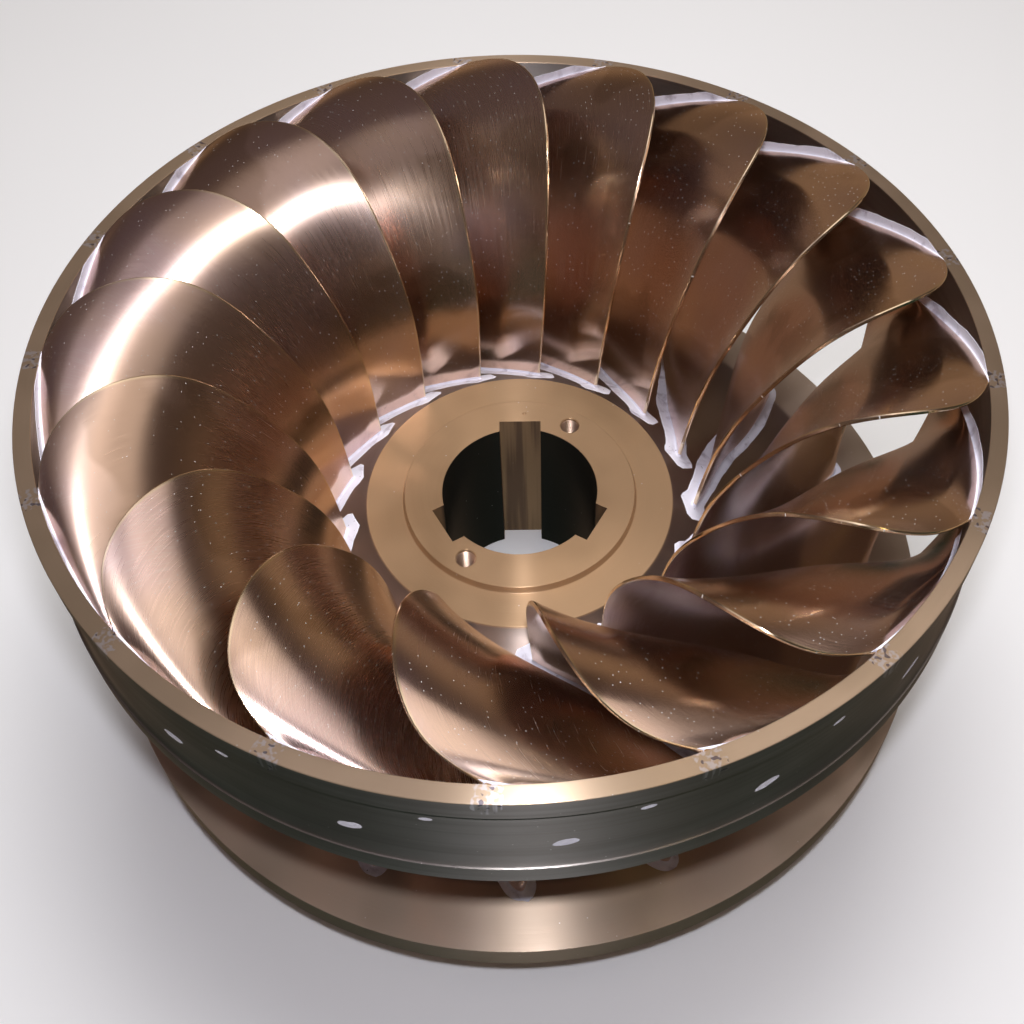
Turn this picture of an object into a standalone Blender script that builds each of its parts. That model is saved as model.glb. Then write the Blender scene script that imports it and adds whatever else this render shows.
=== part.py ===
"""A cast bronze Francis turbine runner, standing on its hub with the discharge end up.

Metres, +Z up. The origin is on the runner's axis, in the plane of the hub's foot. One keyway
points along +Y. The crown with its hub is at the bottom, the band around the top, and the
blades run from one to the other: each starts at the leading edge, low and outside, and sweeps
round and up to the trailing edge, which crosses from the hub to the band's lip.
"""

import math

import bmesh
import bpy
from mathutils import Vector

# Main sizes of the runner
BLADE_COUNT = 17
FIRST_TIP_ANGLE = 203.8        # degrees, where the first blade's tip meets the lip
LIP_RADIUS = 0.350
LIP_HEIGHT = 0.354
FACET_COUNT = 6 * BLADE_COUNT  # facets round a turned piece, the same behind every blade

# Band: a thin ring with a seal land under the lip and a flange at its lower edge
BAND_BORE_RADIUS = 0.338
LAND_HEIGHT = 0.020
WALL_RADIUS = 0.3482
FLANGE_RADIUS = 0.352
FLANGE_TOP = 0.260
FLANGE_THICKNESS = 0.020
COVE_HEIGHT = 0.028
COVE_STEPS = 4
MOUTH_BREAK = 0.003
EDGE_BREAK = 0.0010            # on the turned edges of both the band and the crown

# Crown: a disc with a flat rim, a flow surface that climbs to the hub, and a hub foot below
RIM_RADIUS = 0.3475
RIM_TOP = 0.081
RIM_BOTTOM = 0.054
RIM_INNER_RADIUS = 0.300
HUB_RADIUS = 0.130
HUB_FACE_HEIGHT = 0.162
HUB_EDGE_HEIGHT = 0.160
HUB_EDGE_BREAK = 0.002
FLOW_POWER = 1.8               # how steeply the flow surface climbs towards the hub
FLOW_STEPS = 7
BOSS_RADIUS = 0.0965
BOSS_HEIGHT = 0.168
FOOT_RADIUS = 0.115
BACK_RECESS_RADIUS = 0.285
BACK_RECESS_HEIGHT = 0.066
BACK_ROOT_HEIGHT = 0.084
BACK_ROOT_FILLET = 0.012

# Bore with three keyways, and two tapped holes in the boss face
BORE_RADIUS = 0.065
KEYWAY_COUNT = 3
KEYWAY_WIDTH = 0.036
KEYWAY_DEPTH = 0.0084
KEYWAY_ANGLE = 90.0
TAPPED_HOLE_RADIUS = 0.008
TAPPED_HOLE_DEPTH = 0.032
TAPPED_HOLE_CIRCLE = 0.081
TAPPED_HOLE_ANGLES = (57.5, 237.5)
TAPPED_HOLE_FACETS = 20
CUTTER_OVERSHOOT = 0.010       # how far a cutter stands out of the face it cuts

# Blade outlines. Angles are degrees, counter-clockwise seen from above, from the blade's tip.
# Each list has evenly spaced stations: (radius, angle, height) or two of the three.
TRAILING_EDGE = (              # from the foot on the crown to the tip at the lip
    (0.1484, -14.6, 0.1455),
    (0.1617, -16.2, 0.2347),
    (0.1932, -15.7, 0.3057),
    (0.2321, -14.5, 0.3547),
    (0.2776, -11.7, 0.3747),
    (0.3185, -6.7, 0.3694),
    (0.3380, 0.0, 0.3540),
)
CROWN_ROOT = (                 # (radius, angle), from the trailing to the leading edge
    (0.1484, -14.6),
    (0.166, -3.0),
    (0.190, 7.0),
    (0.222, 13.5),
    (0.262, 19.0),
    (0.305, 24.0),
)
BAND_ROOT = (                  # (angle, height), from the trailing to the leading edge
    (0.0, 0.354),
    (8.0, 0.3310),
    (16.0, 0.3098),
    (23.5, 0.294),
    (29.3, 0.278),
    (32.0, 0.256),
)
LEADING_EDGE = (               # from the foot on the crown to the band
    (0.305, 24.0, 0.081),
    (0.307, 24.3, 0.135),
    (0.312, 24.6, 0.183),
    (0.322, 28.3, 0.225),
    (0.338, 32.0, 0.256),
)

# How far the blade's middle stands off the blend of its four edges, as (angle, height): first a
# third of the way from the trailing to the leading edge, then two thirds, and in each nearer the
# crown and nearer the band. The trailing edge's own bow fades along the blade with the power.
MIDDLE_SHIFTS = (
    ((0.7, -0.0216), (1.7, 0.0098)),
    ((7.2, -0.0024), (-2.1, -0.0032)),
)
BOW_FADE_POWER = 1.9

# Blade thickness and the mesh stations along it
TRAILING_THICKNESS = 0.003
FULL_THICKNESS = 0.012
FULL_THICKNESS_AT = 0.85       # share of the blade's length from the trailing edge
NOSE_START = 0.95              # where the rounded leading edge begins
LENGTH_STATIONS = (0.0, 0.05, 0.14, 0.25, 0.37, 0.49, 0.61, 0.73, 0.84, 0.95, 0.985, 1.0)
SPAN_STATIONS = 9
SEAT_GAP = 0.0005              # between a blade's ends and the crown or the band

# Bronze: base colour, roughness
POLISHED_BRONZE = ((0.62, 0.40, 0.30, 1.0), 0.22)
TURNED_BRONZE = ((0.58, 0.42, 0.27, 1.0), 0.34)
SATIN_BRONZE = ((0.50, 0.37, 0.30, 1.0), 0.38)


def clear_scene():
    for thing in list(bpy.data.objects):
        bpy.data.objects.remove(thing, do_unlink=True)


def bronze(name, look):
    """A metal material with its own name; look is (base colour, roughness)."""
    colour, roughness = look
    material = bpy.data.materials.new(name)
    material.use_nodes = True
    shader = material.node_tree.nodes["Principled BSDF"]
    shader.inputs["Base Color"].default_value = colour
    shader.inputs["Metallic"].default_value = 1.0
    shader.inputs["Roughness"].default_value = roughness
    material.diffuse_color = colour
    return material


def link_object(name, mesh, look):
    thing = bpy.data.objects.new(name, mesh)
    mesh.materials.append(bronze(name + "_bronze", look))
    bpy.context.collection.objects.link(thing)
    return thing


def shade_round(mesh, sharp_degrees=30.0):
    mesh.shade_smooth()
    mesh.set_sharp_from_angle(angle=math.radians(sharp_degrees))


def mesh_from(name, points, faces):
    """A mesh with its faces turned outwards."""
    builder = bmesh.new()
    corners = [builder.verts.new(point) for point in points]
    for face in faces:
        builder.faces.new([corners[index] for index in face])
    bmesh.ops.recalc_face_normals(builder, faces=builder.faces)
    mesh = bpy.data.meshes.new(name)
    builder.to_mesh(mesh)
    builder.free()
    return mesh


def turned_mesh(name, outline):
    """A ring turned about Z from a closed outline of (radius, height) points."""
    count = len(outline)
    points = []
    for facet in range(FACET_COUNT):
        angle = 2.0 * math.pi * facet / FACET_COUNT
        for radius, height in outline:
            points.append((radius * math.cos(angle), radius * math.sin(angle), height))
    faces = []
    for facet in range(FACET_COUNT):
        here = facet * count
        there = (facet + 1) % FACET_COUNT * count
        for index in range(count):
            after = (index + 1) % count
            faces.append((here + index, there + index, there + after, here + after))
    mesh = mesh_from(name, points, faces)
    shade_round(mesh)
    return mesh


def crown_surface(radius):
    """Height of the crown's flow surface at a radius."""
    if radius >= RIM_INNER_RADIUS:
        return RIM_TOP
    climb = (RIM_INNER_RADIUS - radius) / (RIM_INNER_RADIUS - HUB_RADIUS)
    return RIM_TOP + (HUB_EDGE_HEIGHT - RIM_TOP) * climb ** FLOW_POWER


def band_outline():
    mouth = FLANGE_TOP - FLANGE_THICKNESS
    land_bottom = LIP_HEIGHT - LAND_HEIGHT
    outline = [
        (BAND_BORE_RADIUS, LIP_HEIGHT),
        (LIP_RADIUS - EDGE_BREAK, LIP_HEIGHT),
        (LIP_RADIUS, LIP_HEIGHT - EDGE_BREAK),
        (LIP_RADIUS, land_bottom),
        (WALL_RADIUS, land_bottom),
    ]
    # The cove between the wall and the flange edge is a quarter wave
    for step in range(COVE_STEPS + 1):
        share = step / COVE_STEPS
        radius = WALL_RADIUS + (FLANGE_RADIUS - WALL_RADIUS) * (1.0 - math.cos(share * math.pi / 2.0))
        outline.append((radius, FLANGE_TOP + COVE_HEIGHT * (1.0 - share)))
    outline.append((FLANGE_RADIUS, mouth + EDGE_BREAK))
    outline.append((FLANGE_RADIUS - EDGE_BREAK, mouth))
    outline.append((BAND_BORE_RADIUS + MOUTH_BREAK, mouth))
    outline.append((BAND_BORE_RADIUS, mouth + MOUTH_BREAK))
    return outline


def crown_outline():
    outline = [
        (BORE_RADIUS, BOSS_HEIGHT),
        (BORE_RADIUS, 0.0),
        (FOOT_RADIUS - EDGE_BREAK, 0.0),
        (FOOT_RADIUS, EDGE_BREAK),
        (FOOT_RADIUS, BACK_ROOT_HEIGHT - BACK_ROOT_FILLET),
        (FOOT_RADIUS + BACK_ROOT_FILLET, BACK_ROOT_HEIGHT),
        (BACK_RECESS_RADIUS, BACK_RECESS_HEIGHT),
        (RIM_INNER_RADIUS, RIM_BOTTOM),
        (RIM_RADIUS - EDGE_BREAK, RIM_BOTTOM),
        (RIM_RADIUS, RIM_BOTTOM + EDGE_BREAK),
        (RIM_RADIUS, RIM_TOP - EDGE_BREAK),
        (RIM_RADIUS - EDGE_BREAK, RIM_TOP),
    ]
    for step in range(FLOW_STEPS + 1):
        radius = RIM_INNER_RADIUS + (HUB_RADIUS - RIM_INNER_RADIUS) * step / FLOW_STEPS
        outline.append((radius, crown_surface(radius)))
    outline.append((HUB_RADIUS - HUB_EDGE_BREAK, HUB_FACE_HEIGHT))
    outline.append((BOSS_RADIUS, HUB_FACE_HEIGHT))
    outline.append((BOSS_RADIUS, BOSS_HEIGHT - EDGE_BREAK))
    outline.append((BOSS_RADIUS - EDGE_BREAK, BOSS_HEIGHT))
    return outline


def cut(target, cutter):
    """Cut one object out of another and leave the cutter as a hidden guide."""
    cutter.hide_render = True
    cutter.display_type = "WIRE"
    modifier = target.modifiers.new(cutter.name, "BOOLEAN")
    modifier.operation = "DIFFERENCE"
    modifier.solver = "EXACT"
    modifier.object = cutter


def keyway_cutter(name, angle):
    """A slot from inside the bore to the keyway's floor, longer than the hub is high."""
    inner = BORE_RADIUS / 2.0
    outer = BORE_RADIUS + KEYWAY_DEPTH
    half = KEYWAY_WIDTH / 2.0
    points = []
    for height in (-CUTTER_OVERSHOOT, BOSS_HEIGHT + CUTTER_OVERSHOOT):
        for along, across in ((inner, -half), (outer, -half), (outer, half), (inner, half)):
            points.append((along, across, height))
    faces = [(0, 1, 2, 3), (4, 5, 6, 7), (0, 1, 5, 4), (1, 2, 6, 5), (2, 3, 7, 6), (3, 0, 4, 7)]
    cutter = bpy.data.objects.new(name, mesh_from(name, points, faces))
    cutter.rotation_euler = (0.0, 0.0, math.radians(angle))
    bpy.context.collection.objects.link(cutter)
    return cutter


def tapped_hole_cutter(name, angle):
    """A plain cylinder of the thread's outer diameter."""
    builder = bmesh.new()
    bmesh.ops.create_cone(
        builder, cap_ends=True, segments=TAPPED_HOLE_FACETS, radius1=TAPPED_HOLE_RADIUS,
        radius2=TAPPED_HOLE_RADIUS, depth=TAPPED_HOLE_DEPTH + CUTTER_OVERSHOOT)
    mesh = bpy.data.meshes.new(name)
    builder.to_mesh(mesh)
    builder.free()
    cutter = bpy.data.objects.new(name, mesh)
    turn = math.radians(angle)
    cutter.location = (
        TAPPED_HOLE_CIRCLE * math.cos(turn),
        TAPPED_HOLE_CIRCLE * math.sin(turn),
        BOSS_HEIGHT + (CUTTER_OVERSHOOT - TAPPED_HOLE_DEPTH) / 2.0,
    )
    bpy.context.collection.objects.link(cutter)
    return cutter


def make_band():
    return link_object("band", turned_mesh("band", band_outline()), SATIN_BRONZE)


def make_crown():
    crown = link_object("crown", turned_mesh("crown", crown_outline()), TURNED_BRONZE)
    for number in range(KEYWAY_COUNT):
        angle = KEYWAY_ANGLE + 360.0 * number / KEYWAY_COUNT
        cut(crown, keyway_cutter("keyway_cutter_%d" % (number + 1), angle))
    for number, angle in enumerate(TAPPED_HOLE_ANGLES):
        cut(crown, tapped_hole_cutter("tapped_hole_cutter_%d" % (number + 1), angle))
    return crown


def through(stations, share):
    """A smooth curve through evenly spaced stations, at a share of its length from 0 to 1."""
    last = len(stations) - 1
    place = min(max(share, 0.0), 1.0) * last
    index = min(int(place), last - 1)
    part = place - index
    values = []
    for axis in range(len(stations[0])):
        here = stations[index][axis]
        there = stations[index + 1][axis]
        step = there - here
        before = here - stations[index - 1][axis] if index > 0 else step
        after = stations[index + 2][axis] - there if index + 2 <= last else step
        slope_here = (before + step) / 2.0
        slope_there = (step + after) / 2.0
        square = part * part
        cube = square * part
        values.append(
            (2.0 * cube - 3.0 * square + 1.0) * here
            + (cube - 2.0 * square + part) * slope_here
            + (3.0 * square - 2.0 * cube) * there
            + (cube - square) * slope_there)
    return values


def crown_root(along):
    radius, angle = through(CROWN_ROOT, along)
    return Vector((radius, angle, crown_surface(radius)))


def band_root(along):
    angle, height = through(BAND_ROOT, along)
    return Vector((BAND_BORE_RADIUS, angle, height))


def third_humps(share):
    """Two humps over a share from 0 to 1, with height 1 at one third and at two thirds."""
    rest = 1.0 - share
    return 6.75 * share * rest * rest, 6.75 * share * share * rest


def middle_surface(along, across):
    """The blade's middle surface, filled in smoothly between its four edges.

    along runs from the trailing edge (0) to the leading edge (1), across from the crown (0)
    to the band (1). Gives (radius, angle, height).
    """
    straight = crown_root(along).lerp(band_root(along), across)
    trailing_bow = Vector(through(TRAILING_EDGE, across)) - crown_root(0.0).lerp(band_root(0.0), across)
    leading_bow = Vector(through(LEADING_EDGE, across)) - crown_root(1.0).lerp(band_root(1.0), across)
    surface = straight + trailing_bow.lerp(leading_bow, along ** BOW_FADE_POWER)
    for along_hump, shifts in zip(third_humps(along), MIDDLE_SHIFTS):
        for across_hump, (angle, height) in zip(third_humps(across), shifts):
            surface += along_hump * across_hump * Vector((0.0, angle, height))
    return surface


def blade_point(along, across):
    """The middle surface as a point in space; past the roots it goes straight on."""
    inside = min(max(across, 0.0), 1.0)
    radius, angle, height = middle_surface(along, inside)
    turn = math.radians(angle)
    point = Vector((radius * math.cos(turn), radius * math.sin(turn), height))
    if across == inside:
        return point
    step = 0.02 if inside == 0.0 else -0.02
    near = blade_point(along, inside + step)
    return point + (near - point) * ((across - inside) / step)


def half_thickness(along):
    """Thin at the trailing edge, full near the leading edge, with an elliptical nose."""
    growth = math.sin(math.pi / 2.0 * min(along / FULL_THICKNESS_AT, 1.0))
    thickness = TRAILING_THICKNESS + (FULL_THICKNESS - TRAILING_THICKNESS) * growth
    if along > NOSE_START:
        nose = (along - NOSE_START) / (1.0 - NOSE_START)
        thickness *= math.sqrt(max(1.0 - nose * nose, 0.0))
    return thickness / 2.0


def side_point(along, across, side):
    """A point on one face of the blade: side is +1 for the upper face and -1 for the lower."""
    step = 0.005
    before = max(along - step, 0.0)
    after = min(along + step, 1.0)
    length_way = blade_point(after, across) - blade_point(before, across)
    span_way = blade_point(along, across + step) - blade_point(along, across - step)
    normal = span_way.cross(length_way).normalized()
    return blade_point(along, across) + normal * (side * half_thickness(along))


def root_share(along, side, low, high, clearance):
    """The share of the span, between low and high, where the clearance to a seat is SEAT_GAP."""
    for _ in range(40):
        middle = (low + high) / 2.0
        if clearance(side_point(along, middle, side)) > SEAT_GAP:
            high = middle
        else:
            low = middle
    return (low + high) / 2.0


def crown_clearance(point):
    return point.z - crown_surface(math.hypot(point.x, point.y))


def band_clearance(point):
    return BAND_BORE_RADIUS - math.hypot(point.x, point.y)


def blade_mesh():
    """One blade, closed: two faces that meet at the nose, a thin trailing edge and two ends."""
    points = []
    rows = {}
    reach = 0.2
    for side in (1, -1):
        for station, along in enumerate(LENGTH_STATIONS):
            if side == -1 and along == 1.0:
                rows[side, station] = rows[1, station]
                continue
            start = root_share(along, side, -reach, reach, crown_clearance)
            end = root_share(along, side, 1.0 + reach, 1.0 - reach, band_clearance)
            row = []
            for number in range(SPAN_STATIONS):
                across = start + (end - start) * number / (SPAN_STATIONS - 1)
                row.append(len(points))
                points.append(side_point(along, across, side))
            rows[side, station] = row
    faces = []
    last = len(LENGTH_STATIONS) - 1
    for station in range(last):
        for number in range(SPAN_STATIONS - 1):
            for side in (1, -1):
                here = rows[side, station]
                there = rows[side, station + 1]
                faces.append((here[number], there[number], there[number + 1], here[number + 1]))
        for number in (0, SPAN_STATIONS - 1):
            ends = [rows[1, station][number], rows[1, station + 1][number]]
            if station + 1 < last:
                ends.append(rows[-1, station + 1][number])
            ends.append(rows[-1, station][number])
            faces.append(tuple(ends))
    for number in range(SPAN_STATIONS - 1):
        upper = rows[1, 0]
        lower = rows[-1, 0]
        faces.append((upper[number], upper[number + 1], lower[number + 1], lower[number]))
    mesh = mesh_from("blade", points, faces)
    shade_round(mesh, 40.0)
    return mesh


def make_blades():
    """Seventeen equal blades, numbered clockwise seen from above."""
    master = blade_mesh()
    for number in range(BLADE_COUNT):
        name = "blade_%02d" % (number + 1)
        blade = link_object(name, master.copy(), POLISHED_BRONZE)
        angle = FIRST_TIP_ANGLE - 360.0 * number / BLADE_COUNT
        blade.rotation_euler = (0.0, 0.0, math.radians(angle))


def build_runner():
    clear_scene()
    make_crown()
    make_band()
    make_blades()


build_runner()
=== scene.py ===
"""How a cast bronze Francis turbine runner looks: ground blades, turned faces, test paint and light.

Metres, +Z up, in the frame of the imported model: the runner stands on its hub with the discharge
end up, its axis is the Z axis, and one keyway points along +Y.
"""

import math

import bmesh
import bpy
import numpy as np
from mathutils import Matrix, Vector


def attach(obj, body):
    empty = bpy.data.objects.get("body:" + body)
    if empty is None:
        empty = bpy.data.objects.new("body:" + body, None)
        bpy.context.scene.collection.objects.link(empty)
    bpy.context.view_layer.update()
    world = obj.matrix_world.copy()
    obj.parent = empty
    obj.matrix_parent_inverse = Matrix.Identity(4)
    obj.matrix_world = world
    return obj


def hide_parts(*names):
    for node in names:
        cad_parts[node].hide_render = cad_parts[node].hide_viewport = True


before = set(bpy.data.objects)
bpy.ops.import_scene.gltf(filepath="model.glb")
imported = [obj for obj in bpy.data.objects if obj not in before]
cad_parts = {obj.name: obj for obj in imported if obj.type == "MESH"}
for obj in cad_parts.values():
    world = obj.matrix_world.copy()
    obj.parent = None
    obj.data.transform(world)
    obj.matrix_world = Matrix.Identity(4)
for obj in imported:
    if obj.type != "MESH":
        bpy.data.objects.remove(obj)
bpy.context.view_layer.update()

# Main sizes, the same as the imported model's
BLADE_COUNT = 17
BLADE_STEP = 360.0 / BLADE_COUNT
FIRST_TIP_ANGLE = 203.8
LIP_RADIUS = 0.350
LIP_HEIGHT = 0.354
BAND_BORE_RADIUS = 0.338
LAND_HEIGHT = 0.020
WALL_RADIUS = 0.3482
FLANGE_RADIUS = 0.352
FLANGE_TOP = 0.260
FLANGE_THICKNESS = 0.020
COVE_HEIGHT = 0.028
RIM_RADIUS = 0.3475
RIM_TOP = 0.081
RIM_BOTTOM = 0.054
RIM_INNER_RADIUS = 0.300
HUB_RADIUS = 0.130
HUB_FACE_HEIGHT = 0.162
HUB_EDGE_HEIGHT = 0.160
FLOW_POWER = 1.8
BOSS_RADIUS = 0.0965
BOSS_HEIGHT = 0.168
BOSS_FOOT_REACH = 0.0018
FOOT_RADIUS = 0.115
BACK_RECESS_RADIUS = 0.285
BACK_RECESS_HEIGHT = 0.066
BACK_ROOT_HEIGHT = 0.084
BACK_ROOT_ROUND = 0.012
BORE_RADIUS = 0.065
KEYWAY_WIDTH = 0.036
KEYWAY_DEPTH = 0.0084
KEYWAY_ANGLES = (90.0, 210.0, 330.0)
HOLE_RADIUS = 0.008
HOLE_DEPTH = 0.032
HOLE_CIRCLE = 0.081
HOLE_ANGLES = (57.5, 237.5)
PUNCH_CIRCLE = 0.082
PUNCH_ANGLE = 87.3
PUNCH_RADIUS = 0.0022

# Edges of the turned pieces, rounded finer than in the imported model
TURN_STEPS = 24 * BLADE_COUNT
EDGE_ROUND = 0.0009
CORNER_ROUND = 0.004
ROUND_STEPS = 5
LAND_ROUND = 0.0004
WALL_ROUND = 0.0008
COVE_STEPS = 12
COVE_LIP = 0.0008
FLANGE_ROUND = 0.0005
MOUTH_ROUND = 0.003
FLOW_STEPS = 30
HUB_SLOPE = 0.0015
BOSS_FOOT_ROUND = 0.0012
BOSS_SLOPE = 0.0006
BOSS_EDGE_HEIGHT = 0.0022
CHAMFER = 0.0008
CUT_BEYOND = 0.01

# Blade outlines by (radius, angle, height), on the crown by (radius, angle) and on the band by
# (angle, height): degrees counter-clockwise from above, from the blade's tip
TRAILING_EDGE = (
    (0.1484, -14.6, 0.1455),
    (0.1617, -16.2, 0.2347),
    (0.1932, -15.7, 0.3057),
    (0.2321, -14.5, 0.3547),
    (0.2776, -11.7, 0.3740),
    (0.3185, -6.7, 0.3690),
    (0.3380, 0.0, 0.3540),
)
CROWN_ROOT = ((0.1484, -14.6), (0.166, -3.0), (0.190, 7.0), (0.222, 13.5), (0.262, 19.0), (0.305, 24.0))
BAND_ROOT = ((0.0, 0.354), (8.0, 0.3310), (16.0, 0.3098), (23.5, 0.294), (29.3, 0.278), (32.0, 0.256))
LEADING_EDGE = (
    (0.305, 24.0, 0.081),
    (0.307, 24.3, 0.135),
    (0.312, 24.6, 0.183),
    (0.322, 28.3, 0.225),
    (0.338, 32.0, 0.256),
)

# What a blade's middle adds, in (degrees, metres): trailing side, then leading side, crown first
MIDDLE_SHIFTS = (
    ((0.7, -0.0216), (1.7, 0.0098)),
    ((7.2, -0.0024), (-2.1, -0.0032)),
)
BOW_FADE_POWER = 1.9
BLADE_LENGTH = 0.28
BLADE_WIDTH = 0.22
TRAILING_THICKNESS = 0.003
FULL_THICKNESS = 0.012
FULL_THICKNESS_AT = 0.85
NOSE_START = 0.95
TRAILING_BREAK = 0.0006
LENGTH_STEPS = 46
LENGTH_POWER = 1.2
NOSE_STEPS = 8
SPAN_STEPS = 44

# How far a blade's ends reach into the crown and the band, where they are looked for by halving,
# and the steps that give slopes and a blade's straight way on
SINK = 0.0015
ROOT_REACH = 0.2
HALVINGS = 34
SLOPE_STEP = 0.004
STRAIGHT_STEP = 0.02
CLIMB_STEP = 0.001
HUB_EDGE_MARGIN = 0.0004

# Finish of the blades: the angle at which they keep the most grinding marks, the shares from
# crown to band between which the brush reached in, and how the marks differ by blade
BRUSHED_SIDE = 170.0
BRUSH_FADE = (0.22, 0.50)
BRUSH_LEAST = 0.25
MARKS_OFFSET = (1.7, 0.9)
MARKS_SCALE = (1100.0, 36.0, 0.0)
SCRATCH_SCALE = (50.0, 1300.0, 0.0)
SCRATCH_TURN = 0.9
BLADE_ANISOTROPY = 0.82
BLADE_GRAIN_TURN = 0.03
TURNED_ANISOTROPY = 0.94
TURNED_GRAIN_TURN = 0.25

# Tool marks of the turned faces: scales by (radius, height, angle), depth, and streaks by (x, y, z)
FINE_RINGS = (1300.0, 1300.0, 300.0)
COARSE_RINGS = (220.0, 220.0, 120.0)
RING_DRIFT = 0.004
RING_DEPTH = 0.00006
KEYWAY_STREAKS = (130.0, 130.0, 4.0)
SMEAR_STREAKS = (300.0, 300.0, 40.0)

# Fillets at the blades' roots, and the test paint that follows them
FILLET_HEIGHT = 0.003
FILLET_REACH = 0.005
FILLET_STEPS = 6
FILLET_SINK = 0.0012
FILLET_EDGE_SINK = 0.00005
PAINT_THICKNESS = 0.00022
PAINT_SINK = 0.0007
PAINT_EDGE_SINK = 0.0002
PAINT_MARGIN = 0.0005
PAINT_ROWS = (0.25, 0.5, 0.75, 0.93, 1.0)

# The paint on the crown: its width above the blade, at the nose, below and at the foot, how far it
# climbs the blade, and how uneven both are
CROWN_PAINT_ABOVE = 0.0115
CROWN_PAINT_NOSE = 0.0075
CROWN_PAINT_NOSE_FROM = 0.7
CROWN_PAINT_BELOW = 0.0062
CROWN_PAINT_FOOT = 0.0150
CROWN_PAINT_FOOT_SHARE = 0.05
CROWN_PAINT_WANDER = 0.0011
CROWN_PAINT_CLIMB = 0.0036
CROWN_CLIMB_WANDER = 0.0005

# The paint on the band: its least width, what its middle adds, how it tapers, and where it ends
BAND_PAINT_WIDTH = 0.0035
BAND_PAINT_SWELL = 0.0055
BAND_PAINT_TAPERS = (0.1, 0.2)
BAND_PAINT_END = 0.66
BAND_PAINT_WANDER = 0.0012
BAND_PAINT_CLIMB = 0.0048
BAND_CLIMB_WANDER = 0.0006

# Waves of the paint's uneven edge: how many and each one's share, and the phases between them
EDGE_WAVES = ((2.3, 0.45), (5.1, 0.3), (11.7, 0.15), (23.0, 0.1))
WAVE_PHASE = 1.9
BLADE_PHASE = 2.4

# Paint marks on the band, one a blade: degrees past the tip, height, half sizes, tilt in degrees
WALL_SPOTS = ((28.7, 0.290, 0.0088, 0.0046, 18.0), (15.5, 0.3225, 0.0048, 0.0023, 8.0))
TIP_SMEAR = (0.3, LIP_HEIGHT - 0.002, 0.009, 0.012, 0.0)
LIP_COLOUR_EDGE = (LIP_HEIGHT - 0.0010, LIP_HEIGHT - 0.0004)

# Threads in the two tapped holes: the profile is (rise, depth) over one pitch
THREAD_PITCH = 0.002
THREAD_DEPTH = 0.0011
THREAD_PROFILE = ((0.0, 0.0), (0.35, 1.0), (0.5, 1.0), (0.85, 0.0))
THREAD_TOP = 0.001
THREAD_RUN_OUT = 0.003
THREAD_ROOT = HOLE_RADIUS + 0.0001
THREAD_BACK = HOLE_RADIUS + 0.0004
THREAD_STEPS = 36

# Colours of the metal: pairs are mixed in clouds
BLADE_COLOURS = ((0.80, 0.60, 0.54), (0.83, 0.61, 0.47))
STAIN_COLOUR = (0.40, 0.25, 0.14)
# Lighter colour along the trailing edge: a painted highlight
TRAILING_HIGHLIGHT_COLOUR = (0.92, 0.76, 0.50)
SCRATCH_COLOUR = (0.86, 0.74, 0.66)
HUB_COLOURS = ((0.55, 0.355, 0.20), (0.43, 0.275, 0.15))
HUB_MARKS = (0.52, 0.34, 0.19)
# Darker, greyer flow surface between the blades: painted shade
SHADED_FLOW_COLOURS = ((0.36, 0.28, 0.24), (0.28, 0.22, 0.18))
RIM_COLOURS = ((0.57, 0.44, 0.335), (0.44, 0.335, 0.245))
KEYWAY_COLOURS = ((0.40, 0.25, 0.13), (0.20, 0.12, 0.07))
# Near black on the bore's wall: painted shade
BORE_PAINTED_SHADE_COLOUR = (0.035, 0.035, 0.028)
LIP_COLOURS = ((0.67, 0.50, 0.345), (0.54, 0.40, 0.27))
WALL_COLOURS = ((0.46, 0.42, 0.39), (0.33, 0.30, 0.27))
WALL_MARKS = (0.25, 0.22, 0.19)
ROOT_COLOURS = ((0.55, 0.39, 0.29), (0.42, 0.30, 0.22))

# Colours of what lies on the metal, and of the floor
DUST_COLOUR = (0.78, 0.74, 0.72)
PAINT_COLOUR = (0.90, 0.89, 0.99)
THIN_PAINT_COLOUR = (0.52, 0.48, 0.56)
GRIT_COLOUR = (0.10, 0.08, 0.10)
SMEAR_COLOUR = (0.72, 0.68, 0.70)
INK_COLOUR = (0.06, 0.05, 0.10)
FLOOR_COLOURS = ((0.92, 0.92, 0.92), (0.90, 0.90, 0.90))
FLOOR_HALF_SIZE = 6.0
FLOOR_DROP = 0.0002

# The pale backdrop past the floor's edge, and the dim hall that the runner mirrors instead: its
# ground in front and behind, its walls dim and lit
BACKDROP_COLOUR = (0.72, 0.71, 0.71)
HALL_GROUND = ((0.016, 0.038, 0.029), (0.21, 0.145, 0.10))
HALL_WALLS = ((0.064, 0.046, 0.038), (0.24, 0.165, 0.105))
HALL_CEILING = (0.095, 0.072, 0.078)

# Lights: name, place, target, size, watts, colour, and whether the metal mirrors it
MIDDLE = (0.0, 0.0, 0.25)
LIGHTS = (
    ("flash", (0.02, -0.556, 1.061), MIDDLE, (0.06, 0.045), 4.9, (0.90, 0.91, 1.0), True),
    ("lamp", (0.75, -1.1, 2.3), MIDDLE, (0.22, 0.22), 0.9, (1.0, 0.78, 0.32), True),
    ("panel_left", (-0.85, -0.35, 2.0), MIDDLE, (0.60, 0.60), 0.14, (1.0, 0.86, 0.60), True),
    ("overhead", (-0.18, -0.25, 1.40), (-0.18, -0.25, 0.25), (0.8, 0.8), 0.9, (0.98, 0.92, 1.0), True),
    ("panel_right", (0.66, 0.19, 2.06), MIDDLE, (1.2, 1.3), 5.2, (1.0, 0.92, 0.87), True),
    ("top", (0.1, 0.9, 3.0), MIDDLE, (1.6, 1.6), 66.0, (1.0, 1.0, 1.0), False),
)

# The camera, at the photograph's place
CAMERA_PLACE = (0.0167, -0.6181, 1.0101)
CAMERA_TURN = (39.4775, -0.5238, -1.2193)
CAMERA_LENS = 43.598
CAMERA_SHIFT = (-0.0513, -0.0905)


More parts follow.
